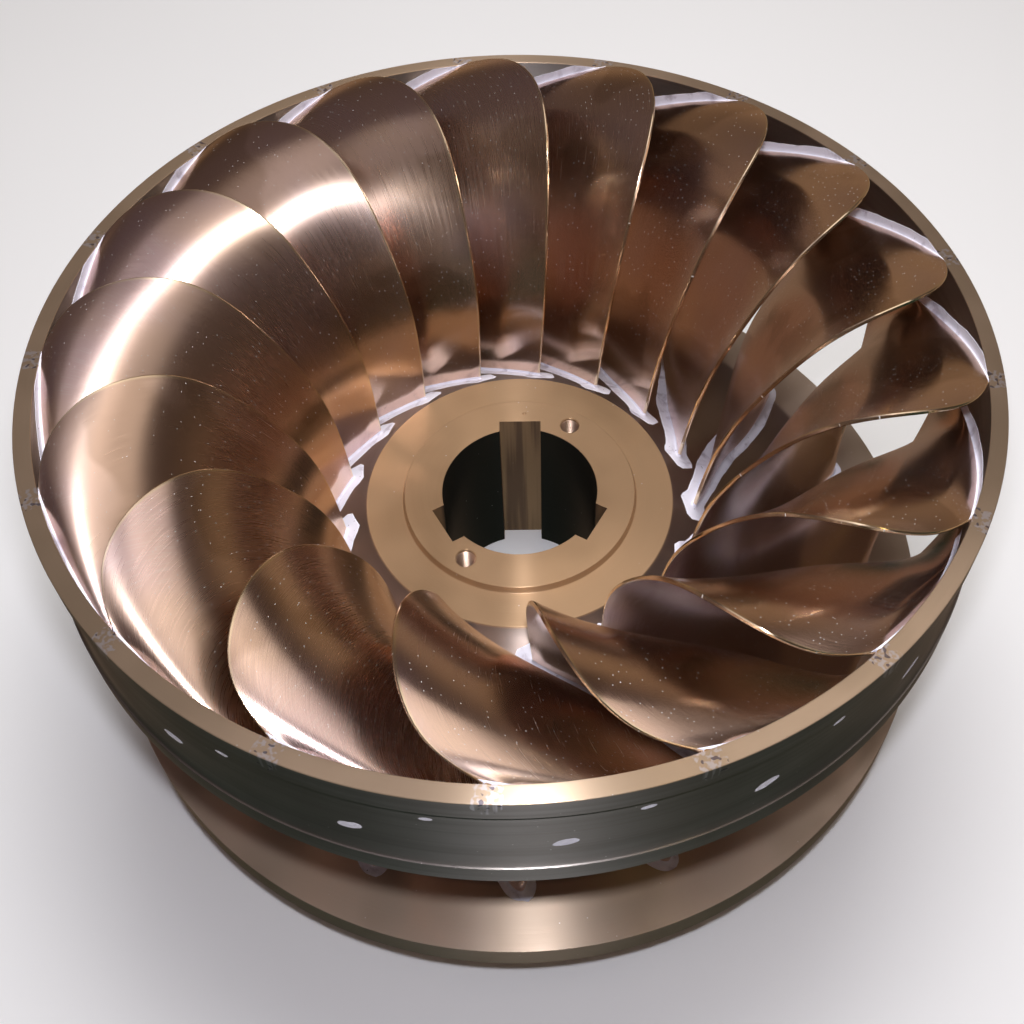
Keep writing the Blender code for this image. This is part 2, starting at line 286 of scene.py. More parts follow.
def new_object(name, data):
    thing = bpy.data.objects.new(name, data)
    bpy.context.scene.collection.objects.link(thing)
    return thing


def link(name, mesh, material):
    thing = new_object(name, mesh)
    mesh.materials.append(material)
    return thing


def dress(thing, replaced=()):
    """Put a finished piece on the runner's body and hide the imported parts that it replaces."""
    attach(thing, "root")
    if replaced:
        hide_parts(*replaced)


def shade_round(mesh, sharp_degrees=35.0):
    mesh.shade_smooth()
    mesh.set_sharp_from_angle(angle=math.radians(sharp_degrees))


def mesh_from(name, points, faces):
    """A mesh with its faces turned outwards."""
    mesh = bpy.data.meshes.new(name)
    mesh.from_pydata([tuple(point) for point in points], [], [tuple(face) for face in faces])
    builder = bmesh.new()
    builder.from_mesh(mesh)
    bmesh.ops.recalc_face_normals(builder, faces=builder.faces)
    builder.to_mesh(mesh)
    builder.free()
    mesh.update()
    return mesh


def rounded(outline):
    """A closed outline of (radius, height, round) corners with an arc in each that has a round."""
    points = []
    count = len(outline)
    for index, (x, y, size) in enumerate(outline):
        corner = Vector((x, y))
        if not size:
            points.append((x, y))
            continue
        before = Vector(outline[index - 1][:2]) - corner
        after = Vector(outline[(index + 1) % count][:2]) - corner
        half = before.angle(after) / 2.0
        reach = min(size / math.tan(half), before.length * 0.49, after.length * 0.49)
        start = corner + before.normalized() * reach
        end = corner + after.normalized() * reach
        for step in range(ROUND_STEPS + 1):
            share = step / ROUND_STEPS
            first = start.lerp(corner, share)
            second = corner.lerp(end, share)
            points.append(tuple(first.lerp(second, share)))
    return points


def turned_mesh(name, outline):
    """A ring turned about Z from a closed outline of (radius, height) points."""
    count = len(outline)
    radii, heights = np.array(outline).T
    points = []
    for step in range(TURN_STEPS):
        angle = math.tau * step / TURN_STEPS
        points.extend(zip(radii * math.cos(angle), radii * math.sin(angle), heights))
    faces = []
    for step in range(TURN_STEPS):
        here = step * count
        there = (step + 1) % TURN_STEPS * count
        for index in range(count):
            after = (index + 1) % count
            faces.append((here + index, there + index, there + after, here + after))
    return mesh_from(name, points, faces)


def crown_surface(radius):
    """Height of the crown's flow surface at a radius, or at an array of radii."""
    climb = np.clip((RIM_INNER_RADIUS - radius) / (RIM_INNER_RADIUS - HUB_RADIUS), 0.0, None)
    return RIM_TOP + (HUB_EDGE_HEIGHT - RIM_TOP) * climb ** FLOW_POWER


def smooth_curve(stations):
    """The cubic spline through evenly spaced stations, as a function of shares from 0 to 1."""
    knots = np.array(stations, float)
    last = len(knots) - 1
    matrix = np.eye(last + 1)
    pulls = np.zeros_like(knots)
    for index in range(1, last):
        matrix[index, index - 1:index + 2] = (1.0, 4.0, 1.0)
        pulls[index] = 6.0 * (knots[index + 1] - 2.0 * knots[index] + knots[index - 1])
    bends = np.linalg.solve(matrix, pulls)

    def curve(share):
        place = np.clip(share, 0.0, 1.0) * last
        index = np.minimum(place.astype(int), last - 1)
        after = (place - index)[..., None]
        before = 1.0 - after
        straight = before * knots[index] + after * knots[index + 1]
        bend = (before ** 3 - before) * bends[index] + (after ** 3 - after) * bends[index + 1]
        return straight + bend / 6.0

    return curve


trailing_edge = smooth_curve(TRAILING_EDGE)
leading_edge = smooth_curve(LEADING_EDGE)
crown_root_curve = smooth_curve(CROWN_ROOT)
band_root_curve = smooth_curve(BAND_ROOT)


def crown_root(along):
    place = crown_root_curve(along)
    return np.concatenate([place, crown_surface(place[..., :1])], axis=-1)


def band_root(along):
    place = band_root_curve(along)
    return np.concatenate([np.full_like(place[..., :1], BAND_BORE_RADIUS), place], axis=-1)


def blend(start, end, share):
    return start + (end - start) * share[..., None]


def unit(vectors):
    return vectors / np.linalg.norm(vectors, axis=-1, keepdims=True)


def third_humps(share):
    """Two humps over a share from 0 to 1, with height 1 at one third and at two thirds."""
    rest = 1.0 - share
    return 6.75 * share * rest * rest, 6.75 * share * share * rest


def middle_surface(along, across):
    """(radius, angle, height) from the trailing (0) to the leading edge (1) and crown to band."""
    start = np.zeros_like(along)
    end = np.ones_like(along)
    surface = blend(crown_root(along), band_root(along), across)
    trailing_bow = trailing_edge(across) - blend(crown_root(start), band_root(start), across)
    leading_bow = leading_edge(across) - blend(crown_root(end), band_root(end), across)
    surface = surface + blend(trailing_bow, leading_bow, along ** BOW_FADE_POWER)
    for along_hump, shifts in zip(third_humps(along), MIDDLE_SHIFTS):
        for across_hump, (angle, height) in zip(third_humps(across), shifts):
            surface = surface + (along_hump * across_hump)[..., None] * np.array((0.0, angle, height))
    return surface


def to_space(surface):
    turn = np.radians(surface[..., 1])
    radius = surface[..., 0]
    return np.stack([radius * np.cos(turn), radius * np.sin(turn), surface[..., 2]], axis=-1)


def blade_point(along, across):
    """The blade's middle surface as points in space; past the roots it goes straight on."""
    inside = np.clip(across, 0.0, 1.0)
    inwards = np.where(across > 0.5, -STRAIGHT_STEP, STRAIGHT_STEP)
    point = to_space(middle_surface(along, inside))
    near = to_space(middle_surface(along, np.clip(inside + inwards, 0.0, 1.0)))
    beyond = np.abs(across - inside) / STRAIGHT_STEP
    return point + (point - near) * beyond[..., None]


def half_thickness(along):
    growth = np.sin(np.pi / 2.0 * np.minimum(along / FULL_THICKNESS_AT, 1.0))
    thickness = TRAILING_THICKNESS + (FULL_THICKNESS - TRAILING_THICKNESS) * growth
    nose = np.clip((along - NOSE_START) / (1.0 - NOSE_START), 0.0, 1.0)
    return thickness * np.sqrt(1.0 - nose * nose) / 2.0


def blade_normal(along, across):
    after = blade_point(np.minimum(along + SLOPE_STEP, 1.0), across)
    before = blade_point(np.maximum(along - SLOPE_STEP, 0.0), across)
    span_way = blade_point(along, across + SLOPE_STEP) - blade_point(along, across - SLOPE_STEP)
    return unit(np.cross(span_way, after - before))


def side_point(along, across, side):
    """Points on one face of the blade: side is +1 for the upper face and -1 for the lower."""
    edge_break = np.where(along == 0.0, TRAILING_BREAK, 0.0)
    offset = side * np.maximum(half_thickness(along) - edge_break, 0.0)
    return blade_point(along, across) + blade_normal(along, across) * offset[..., None]


def radius_at(point):
    return np.hypot(point[..., 0], point[..., 1])


def rescaled(point, scale, height):
    """Points with their way out from the axis scaled, and with new heights."""
    return np.stack([point[..., 0] * scale, point[..., 1] * scale, height], -1)


class CrownSeat:
    """The crown's flow surface, as the seat of the blades' inner ends."""
    low = -ROOT_REACH
    high = ROOT_REACH

    def clearance(self, point):
        return point[..., 2] - crown_surface(radius_at(point))

    def normal(self, point):
        radius = radius_at(point)
        climb = crown_surface(radius + CLIMB_STEP) - crown_surface(radius - CLIMB_STEP)
        outwards = -climb / (2.0 * CLIMB_STEP) / radius
        return unit(rescaled(point, outwards, np.ones_like(radius)))

    def settle(self, point):
        """The point moved onto the seat."""
        radius = np.maximum(radius_at(point), HUB_RADIUS + HUB_EDGE_MARGIN)
        return rescaled(point, radius / radius_at(point), crown_surface(radius))


class BandSeat:
    """The band's straight bore, as the seat of the blades' outer ends."""
    low = 1.0 + ROOT_REACH
    high = 1.0 - ROOT_REACH

    def clearance(self, point):
        return BAND_BORE_RADIUS - radius_at(point)

    def normal(self, point):
        radius = radius_at(point)
        return rescaled(point, -1.0 / radius, np.zeros_like(radius))

    def settle(self, point):
        """The point moved onto the seat, and kept under the lip's rounded edge."""
        height = np.minimum(point[..., 2], LIP_HEIGHT - EDGE_ROUND)
        return rescaled(point, BAND_BORE_RADIUS / radius_at(point), height)


def root_share(along, side, seat, depth):
    """The shares across at which one face of the blade stands depth above its seat."""
    low = np.full_like(along, seat.low)
    high = np.full_like(along, seat.high)
    for _ in range(HALVINGS):
        middle = (low + high) / 2.0
        clear = seat.clearance(side_point(along, middle, side)) > depth
        high = np.where(clear, middle, high)
        low = np.where(clear, low, middle)
    return (low + high) / 2.0


def blade_stations():
    """Shares along the blade, closer together at the trailing edge and round the nose."""
    first = TRAILING_BREAK / BLADE_LENGTH
    body = [first + (NOSE_START - first) * (step / LENGTH_STEPS) ** LENGTH_POWER
            for step in range(LENGTH_STEPS + 1)]
    nose = [NOSE_START + (1.0 - NOSE_START) * math.sin(math.pi / 2.0 * step / NOSE_STEPS)
            for step in range(1, NOSE_STEPS + 1)]
    return np.array([0.0] + body + nose)


def blade_grid():
    """Points, faces and (along, across) shares of one blade with its tip at angle 0."""
    along = blade_stations()
    last = len(along) - 1
    shares = np.linspace(0.0, 1.0, SPAN_STEPS + 1)
    sides = []
    for side in (1, -1):
        start = root_share(along, side, CrownSeat(), -SINK)
        end = root_share(along, side, BandSeat(), -SINK)
        across = start[:, None] + (end - start)[:, None] * shares[None, :]
        grid = np.repeat(along[:, None], SPAN_STEPS + 1, axis=1)
        sides.append((side_point(grid, across, side), np.stack([grid, across], -1)))
    points, places = [np.concatenate([upper, lower[:last]]).reshape(-1, upper.shape[-1])
                      for upper, lower in zip(*sides)]
    count = SPAN_STEPS + 1
    offset = (last + 1) * count

    def at(side, station, number):
        if side == 1 or station == last:
            return station * count + number
        return offset + station * count + number

    faces = []
    for station in range(last):
        for number in range(SPAN_STEPS):
            for side in (1, -1):
                faces.append([at(side, station, number), at(side, station + 1, number),
                              at(side, station + 1, number + 1), at(side, station, number + 1)])
        for number in (0, SPAN_STEPS):
            ends = [at(1, station, number), at(1, station + 1, number)]
            if station + 1 < last:
                ends.append(at(-1, station + 1, number))
            ends.append(at(-1, station, number))
            faces.append(ends)
    for number in range(SPAN_STEPS):
        faces.append([at(1, 0, number), at(1, 0, number + 1), at(-1, 0, number + 1), at(-1, 0, number)])
    return points, faces, places


def turn_to_blade(number):
    return Matrix.Rotation(math.radians(FIRST_TIP_ANGLE - BLADE_STEP * number), 4, "Z")


def map_faces(mesh, name, values):
    """A UV map with one value a point."""
    corners = np.empty(len(mesh.loops), int)
    mesh.loops.foreach_get("vertex_index", corners)
    layer = mesh.uv_layers.new(name=name, do_init=False)
    layer.uv.foreach_set("vector", np.ascontiguousarray(values[corners], np.float32).ravel())


def make_blades(material):
    """The ground blades, with maps for the grinding marks and for how far each was brushed."""
    points, faces, places = blade_grid()
    template = mesh_from("blade_surface", points, faces)
    shade_round(template, 40.0)
    reached = np.interp(places[:, 1], BRUSH_FADE, (BRUSH_LEAST, 1.0))
    for number in range(BLADE_COUNT):
        mesh = template.copy()
        mesh.transform(turn_to_blade(number))
        metres = places * np.array((BLADE_LENGTH, BLADE_WIDTH))
        map_faces(mesh, "polish", metres + np.array(MARKS_OFFSET) * number)
        tip_angle = FIRST_TIP_ANGLE - BLADE_STEP * number
        brushing = 0.5 + 0.5 * math.cos(math.radians(tip_angle - BRUSHED_SIDE))
        map_faces(mesh, "place", np.stack([places[:, 0], brushing * reached], -1))
        name = "blade_%02d" % (number + 1)
        dress(link(name + "_ground", mesh, material), [name])


def foot_loop(seat, depth):
    """The closed line round a blade, depth above its seat: upper face, nose, lower face."""
    along = blade_stations()
    upper = side_point(along, root_share(along, 1, seat, depth), 1)
    lower = side_point(along, root_share(along, -1, seat, depth), -1)
    return np.concatenate([upper, lower[-2::-1]])


class Foot:
    """The line where a blade meets its seat, with the ways up the blade and out over the seat."""

    def __init__(self, seat):
        self.seat = seat
        self.corner = foot_loop(seat, 0.0)
        run = unit(np.roll(self.corner, -1, 0) - np.roll(self.corner, 1, 0))
        out = unit(np.cross(run, seat.normal(self.corner)))
        upper = len(blade_stations()) // 2
        lower = len(self.corner) - 1 - upper
        across = self.corner[upper] - self.corner[lower]
        if np.dot(out[upper], across) < 0.0:
            out = -out
        self.out = out
        up = foot_loop(seat, FILLET_HEIGHT) - self.corner
        self.slant = np.linalg.norm(up, axis=1)
        self.up = up / self.slant[:, None]

    def fillet(self, steps):
        """Rows of points from the blade to the seat over a hollow round."""
        size = np.minimum(self.slant, FILLET_REACH)[:, None]
        start = self.corner + self.up * size
        end = self.seat.settle(self.corner + self.out * size)
        rows = []
        for step in range(steps + 1):
            share = step / steps
            first = start + (self.corner - start) * share
            second = self.corner + (end - self.corner) * share
            rows.append(first + (second - first) * share)
        return rows


def shell(rows, lifts, sinks, closed):
    """Points and faces of a thin body over rows of points, lifted above and sunk below them."""
    rows = np.array(rows)
    count_rows, count = rows.shape[:2]
    along = np.roll(rows, -1, 1) - np.roll(rows, 1, 1)
    if not closed:
        along[:, 0] = rows[:, 1] - rows[:, 0]
        along[:, -1] = rows[:, -1] - rows[:, -2]
    normal = np.cross(along, np.gradient(rows, axis=0))
    normal /= np.maximum(np.linalg.norm(normal, axis=2, keepdims=True), 1e-9)
    top = rows + normal * lifts
    bottom = rows - normal * sinks
    points = np.concatenate([top.reshape(-1, 3), bottom.reshape(-1, 3)])
    below = count_rows * count
    spans = count if closed else count - 1
    faces = []
    for number in range(spans):
        after = (number + 1) % count
        for row in range(count_rows - 1):
            here = row * count
            there = here + count
            faces.append((here + number, here + after, there + after, there + number))
            faces.append((below + here + number, below + there + number,
                          below + there + after, below + here + after))
        last = (count_rows - 1) * count
        faces.append((number, below + number, below + after, after))
        faces.append((last + number, last + after, below + last + after, below + last + number))
    if not closed:
        for number in (0, count - 1):
            for row in range(count_rows - 1):
                here = row * count + number
                there = here + count
                faces.append((here, there, below + there, below + here))
    return points, faces


def on_all_blades(name, shells, material):
    """One piece that repeats a shell, or one shell a blade, at each blade's place."""
    points = []
    faces = []
    for number in range(BLADE_COUNT):
        part_points, part_faces = shells[number % len(shells)]
        start = len(points)
        turn = turn_to_blade(number)
        points.extend(turn @ Vector(point) for point in part_points)
        faces.extend([start + index for index in face] for face in part_faces)
    mesh = mesh_from(name, points, faces)
    shade_round(mesh, 50.0)
    dress(link(name, mesh, material))


def outward_sign(foot):
    """+1 where shell() lifts away from the metal for this foot's rows, and -1 where it sinks."""
    rows = np.array(foot.fillet(2))
    index = len(blade_stations()) // 2
    along = rows[1, index + 1] - rows[1, index - 1]
    normal = np.cross(along, rows[2, index] - rows[0, index])
    return 1.0 if np.dot(normal, foot.out[index] + foot.up[index]) > 0.0 else -1.0


def coat(foot, rows, lift, edge_sink, sink, closed=True):
    """A shell lifted outwards over a foot's rows, with its two edges sunk into the metal."""
    lifts = np.full((len(rows), 1, 1), lift)
    lifts[0] = lifts[-1] = -edge_sink
    sign = outward_sign(foot)
    return shell(rows, sign * lifts, sign * sink, closed)


def make_fillets(name, foot, material):
    body = coat(foot, foot.fillet(FILLET_STEPS), 0.0, FILLET_EDGE_SINK, FILLET_SINK)
    on_all_blades(name, [body], material)


def wander(places, number, size):
    """A smooth uneven line: a few waves whose phases differ from blade to blade."""
    total = np.zeros_like(places)
    for wave, (pace, share) in enumerate(EDGE_WAVES):
        phase = WAVE_PHASE * wave + BLADE_PHASE * number * (wave + 1)
        total += share * np.sin(places * pace * 2.0 * np.pi + phase)
    return total * size


def paint_rows(foot, climb, width):
    """Rows from the painted height on the blade, down the fillet and out over the seat."""
    size = np.minimum(foot.slant, FILLET_REACH)
    beyond = np.maximum(climb, size + PAINT_MARGIN)
    rows = [foot.corner + foot.up * beyond[:, None]]
    rows += foot.fillet(FILLET_STEPS)
    for share in PAINT_ROWS:
        reach = size + (np.maximum(width, size + PAINT_MARGIN) - size) * share
        rows.append(foot.seat.settle(foot.corner + foot.out * reach[:, None]))
    return rows


def paint_shell(foot, climb, width, last=None):
    """The paint round a whole foot, or up to the point numbered last."""
    rows = np.array(paint_rows(foot, climb, width))[:, :last]
    return coat(foot, rows, PAINT_THICKNESS, PAINT_EDGE_SINK, PAINT_SINK, closed=last is None)


def loop_places():
    """Each loop point's share along the blade, and whether it is on the upper face."""
    along = blade_stations()
    places = np.concatenate([along, along[-2::-1]])
    return places, np.arange(len(places)) < len(along)


def make_crown_paint(foot, material):
    """Developer round the whole root: wide above, a tongue at the foot, a thin arm below."""
    along, upper = loop_places()
    shells = []
    for number in range(BLADE_COUNT):
        to_nose = np.clip((along - CROWN_PAINT_NOSE_FROM) / (1.0 - CROWN_PAINT_NOSE_FROM), 0.0, 1.0)
        above = CROWN_PAINT_ABOVE + (CROWN_PAINT_NOSE - CROWN_PAINT_ABOVE) * to_nose
        width = np.where(upper, above, CROWN_PAINT_BELOW)
        foot_end = np.clip(1.0 - along / CROWN_PAINT_FOOT_SHARE, 0.0, 1.0)
        width += (CROWN_PAINT_FOOT - width) * foot_end
        width += wander(along + 0.5 * upper, number, CROWN_PAINT_WANDER)
        climb = CROWN_PAINT_CLIMB + wander(along + 0.3 * upper, number + 5, CROWN_CLIMB_WANDER)
        shells.append(paint_shell(foot, climb, width))
    on_all_blades("developer_crown", shells, material)


def make_band_paint(foot, material):
    """Developer along the upper side of each blade's root on the band, from the tip to behind."""
    along, _ = loop_places()
    last = int(np.argmax(along > BAND_PAINT_END))
    start_taper, end_taper = BAND_PAINT_TAPERS
    taper = np.clip(along / start_taper, 0.0, 1.0)
    taper *= np.clip((BAND_PAINT_END - along) / end_taper, 0.0, 1.0)
    shells = []
    for number in range(BLADE_COUNT):
        width = BAND_PAINT_WIDTH + BAND_PAINT_SWELL * taper + wander(along, number, BAND_PAINT_WANDER)
        climb = BAND_PAINT_CLIMB + wander(along, number + 3, BAND_CLIMB_WANDER)
        shells.append(paint_shell(foot, climb, width, last))
    on_all_blades("developer_band", shells, material)


def band_outline():
    mouth = FLANGE_TOP - FLANGE_THICKNESS
    land_bottom = LIP_HEIGHT - LAND_HEIGHT
    outline = [
        (BAND_BORE_RADIUS, LIP_HEIGHT, EDGE_ROUND),
        (LIP_RADIUS, LIP_HEIGHT, EDGE_ROUND),
        (LIP_RADIUS, land_bottom, LAND_ROUND),
        (WALL_RADIUS, land_bottom, WALL_ROUND),
    ]
    for step in range(COVE_STEPS + 1):
        turn = math.pi / 2.0 * step / COVE_STEPS
        radius = WALL_RADIUS + (FLANGE_RADIUS - COVE_LIP - WALL_RADIUS) * (1.0 - math.cos(turn))
        outline.append((radius, FLANGE_TOP + COVE_HEIGHT * (1.0 - math.sin(turn)), 0.0))
    outline += [
        (FLANGE_RADIUS, FLANGE_TOP, FLANGE_ROUND),
        (FLANGE_RADIUS, mouth, EDGE_ROUND),
        (BAND_BORE_RADIUS, mouth, MOUTH_ROUND),
    ]
    return rounded(outline)


def crown_outline():
    outline = [
        (BORE_RADIUS, BOSS_HEIGHT, EDGE_ROUND),
        (BORE_RADIUS, 0.0, EDGE_ROUND),
        (FOOT_RADIUS, 0.0, EDGE_ROUND),
        (FOOT_RADIUS, BACK_ROOT_HEIGHT, BACK_ROOT_ROUND),
        (BACK_RECESS_RADIUS, BACK_RECESS_HEIGHT, CORNER_ROUND),
        (RIM_INNER_RADIUS, RIM_BOTTOM, CORNER_ROUND),
        (RIM_RADIUS, RIM_BOTTOM, EDGE_ROUND),
        (RIM_RADIUS, RIM_TOP, EDGE_ROUND),
    ]
    for step in range(FLOW_STEPS + 1):
        radius = RIM_INNER_RADIUS + (HUB_RADIUS - RIM_INNER_RADIUS) * step / FLOW_STEPS
        outline.append((radius, float(crown_surface(radius)), 0.0))
    outline += [
        (HUB_RADIUS - HUB_SLOPE, HUB_FACE_HEIGHT, EDGE_ROUND),
        (BOSS_RADIUS + BOSS_FOOT_REACH, HUB_FACE_HEIGHT, BOSS_FOOT_ROUND),
        (BOSS_RADIUS + BOSS_SLOPE, BOSS_HEIGHT - BOSS_EDGE_HEIGHT, BOSS_FOOT_ROUND),
        (BOSS_RADIUS, BOSS_HEIGHT, EDGE_ROUND),
    ]
    return rounded(outline)


def keyway_cutter(angle):
    inner = BORE_RADIUS / 2.0
    outer = BORE_RADIUS + KEYWAY_DEPTH
    half = KEYWAY_WIDTH / 2.0
    turn = Matrix.Rotation(math.radians(angle), 3, "Z")
    points = []
    for height in (-CUT_BEYOND, BOSS_HEIGHT + CUT_BEYOND):
        for along, across in ((inner, -half), (outer, -half), (outer, half), (inner, half)):
            points.append(turn @ Vector((along, across, height)))
    faces = [(0, 1, 2, 3), (4, 5, 6, 7), (0, 1, 5, 4), (1, 2, 6, 5), (2, 3, 7, 6), (3, 0, 4, 7)]
    return mesh_from("keyway_cutter", points, faces)


def on_circle(radius, turn, height=0.0):
    return Vector((radius * math.cos(turn), radius * math.sin(turn), height))


def round_cutter(centre, outline, steps=48):
    """A body turned about an upright line, from (radius, height) rings below to above."""
    points = []
    for radius, height in outline:
        for step in range(steps):
            points.append(centre + on_circle(radius, math.tau * step / steps, height))
    faces = [list(range(steps)), list(range(len(points) - steps, len(points)))]
    for ring in range(len(outline) - 1):
        for step in range(steps):
            after = (step + 1) % steps
            here = ring * steps
            there = here + steps
            faces.append((here + step, here + after, there + after, there + step))
    return mesh_from("round_cutter", points, faces)


def hole_cutter(turn):
    mouth = HOLE_RADIUS + CHAMFER
    outline = [(HOLE_RADIUS, BOSS_HEIGHT - HOLE_DEPTH), (HOLE_RADIUS, BOSS_HEIGHT - CHAMFER),
               (mouth, BOSS_HEIGHT), (mouth, BOSS_HEIGHT + CUT_BEYOND)]
    return round_cutter(on_circle(HOLE_CIRCLE, turn), outline)


def punch_cutter():
    """The punch dot, a small blunt cone."""
    outline = [(0.0003, BOSS_HEIGHT - 0.0012), (PUNCH_RADIUS * 0.7, BOSS_HEIGHT - 0.0005),
               (PUNCH_RADIUS, BOSS_HEIGHT + 0.001)]
    return round_cutter(on_circle(PUNCH_CIRCLE, math.radians(PUNCH_ANGLE)), outline, steps=20)


def cut_away(thing, cutters):
    """Cut meshes out of an object for good."""
    for mesh in cutters:
        cutter = new_object("cutter", mesh)
        modifier = thing.modifiers.new("cut", "BOOLEAN")
        modifier.operation = "DIFFERENCE"
        modifier.solver = "EXACT"
        modifier.object = cutter
        bpy.context.view_layer.update()
        seen = thing.evaluated_get(bpy.context.evaluated_depsgraph_get())
        cut = bpy.data.meshes.new_from_object(seen)
        thing.modifiers.clear()
        thing.data = cut
        bpy.data.objects.remove(cutter)


def thread_shell():
    """A thin sleeve whose inner face rises in one helical thread."""
    turn_rows = len(THREAD_PROFILE)
    rows = int((HOLE_DEPTH - THREAD_RUN_OUT) / THREAD_PITCH) * turn_rows
    points = []
    for outside in (False, True):
        for step in range(THREAD_STEPS + 1):
            share = step / THREAD_STEPS
            for row in range(rows if step < THREAD_STEPS else turn_rows):
                turn, place = divmod(row, turn_rows)
                rise, depth = THREAD_PROFILE[place]
                radius = THREAD_BACK if outside else THREAD_ROOT - THREAD_DEPTH * depth
                height = BOSS_HEIGHT - THREAD_TOP - THREAD_PITCH * (turn + rise + 1.0 - share)
                points.append(on_circle(radius, math.tau * share, height))
    outer = len(points) // 2

    def at(step, row, outside=False):
        """A point's number; after a full turn the rows run on in those one turn below."""
        if step == THREAD_STEPS and row >= turn_rows:
            step = 0
            row -= turn_rows
        return outer * outside + step * rows + row

    faces = []
    for step in range(THREAD_STEPS):
        for row in range(rows - 1):
            for outside in (False, True):
                faces.append((at(step, row, outside), at(step + 1, row, outside),
                              at(step + 1, row + 1, outside), at(step, row + 1, outside)))
        for row in (0, rows - 1):
            faces.append((at(step, row), at(step + 1, row), at(step + 1, row, True), at(step, row, True)))
    for step, first in ((THREAD_STEPS, 0), (0, rows - 1 - turn_rows)):
        for row in range(first, first + turn_rows):
            faces.append((at(step, row), at(step, row + 1), at(step, row + 1, True), at(step, row, True)))
    return points, faces


def make_threads(material):
    points, faces = thread_shell()
    for number, angle in enumerate(HOLE_ANGLES):
        name = "thread_%d" % (number + 1)
        mesh = mesh_from(name, points, faces)
        mesh.transform(Matrix.Translation(on_circle(HOLE_CIRCLE, math.radians(angle))))
        dress(link(name, mesh, material))


class Shades:
    """A node tree being built: each call adds a node and gives back one of its outputs."""

    def __init__(self, tree):
        self.tree = tree

    def feed(self, socket, value):
        """Link an input to a node's output, or set its value."""
        if isinstance(value, bpy.types.NodeSocket):
            self.tree.links.new(value, socket)
        elif socket.type == "RGBA":
            socket.default_value = (*value, 1.0)
        else:
            socket.default_value = value

    def add(self, kind, inputs, output=0, **settings):
        node = self.tree.nodes.new(kind)
        for name, value in settings.items():
            setattr(node, name, value)
        for key, value in inputs.items():
            self.feed(node.inputs[key], value)
        return node.outputs[output]

    def math(self, operation, first, second=0.0, third=0.0):
        return self.add("ShaderNodeMath", {0: first, 1: second, 2: third}, operation=operation)

    def times(self, *factors):
        product = factors[0]
        for factor in factors[1:]:
            product = self.math("MULTIPLY", product, factor)
        return product

    def stretched(self, place, factors):
        return self.add("ShaderNodeVectorMath", {0: place, 1: factors}, operation="MULTIPLY")

    def noise(self, place, scale, detail, roughness=0.55, distortion=0.0, dimensions="3D"):
        return self.add("ShaderNodeTexNoise", {"Vector": place, "Scale": scale, "Detail": detail,
                                               "Roughness": roughness, "Distortion": distortion},
                        noise_dimensions=dimensions)

    def ramp(self, value, start, end, low=0.0, high=1.0):
        """A smooth step from low at start to high at end."""
        return self.add("ShaderNodeMapRange", {0: value, 1: start, 2: end, 3: low, 4: high},
                        interpolation_type="SMOOTHSTEP")

    def mix(self, share, first, second):
        return self.add("ShaderNodeMix", {0: share, 6: first, 7: second}, 2, data_type="RGBA")

    def parts(self, vector):
        return tuple(self.add("ShaderNodeSeparateXYZ", {0: vector}).node.outputs)

    def join(self, x, y, z):
        return self.add("ShaderNodeCombineXYZ", {0: x, 1: y, 2: z})

    def place(self):
        """Places on the object, in metres."""
        return self.add("ShaderNodeTexCoord", {}, "Object")

    def bump(self, height, depth, strength):
        return self.add("ShaderNodeBump", {"Height": height, "Distance": depth, "Strength": strength})

    def dust(self, place, cell, size, share, dimensions="3D"):
        """Small round specks: one at most in each cell of a grid, in a share of the cells."""
        cells = self.add("ShaderNodeTexVoronoi", {"Vector": place, "Scale": 1.0 / cell},
                         voronoi_dimensions=dimensions).node
        lot = self.parts(cells.outputs["Color"])[0]
        near = self.ramp(cells.outputs["Distance"], size / cell, size / cell * 0.6)
        return self.times(near, self.ramp(lot, 1.0 - share, 1.0 - share + 0.02))


def new_material(name):
    """A material, its node helper and its shader node."""
    material = bpy.data.materials.new(name)
    material.use_nodes = True
    tree = material.node_tree
    return material, Shades(tree), tree.nodes["Principled BSDF"]


def wire(shades, shader, **inputs):
    """Set or link the shader's inputs; underscores in the names stand for spaces."""
    for key, value in inputs.items():
        shades.feed(shader.inputs[key.replace("_", " ")], value)


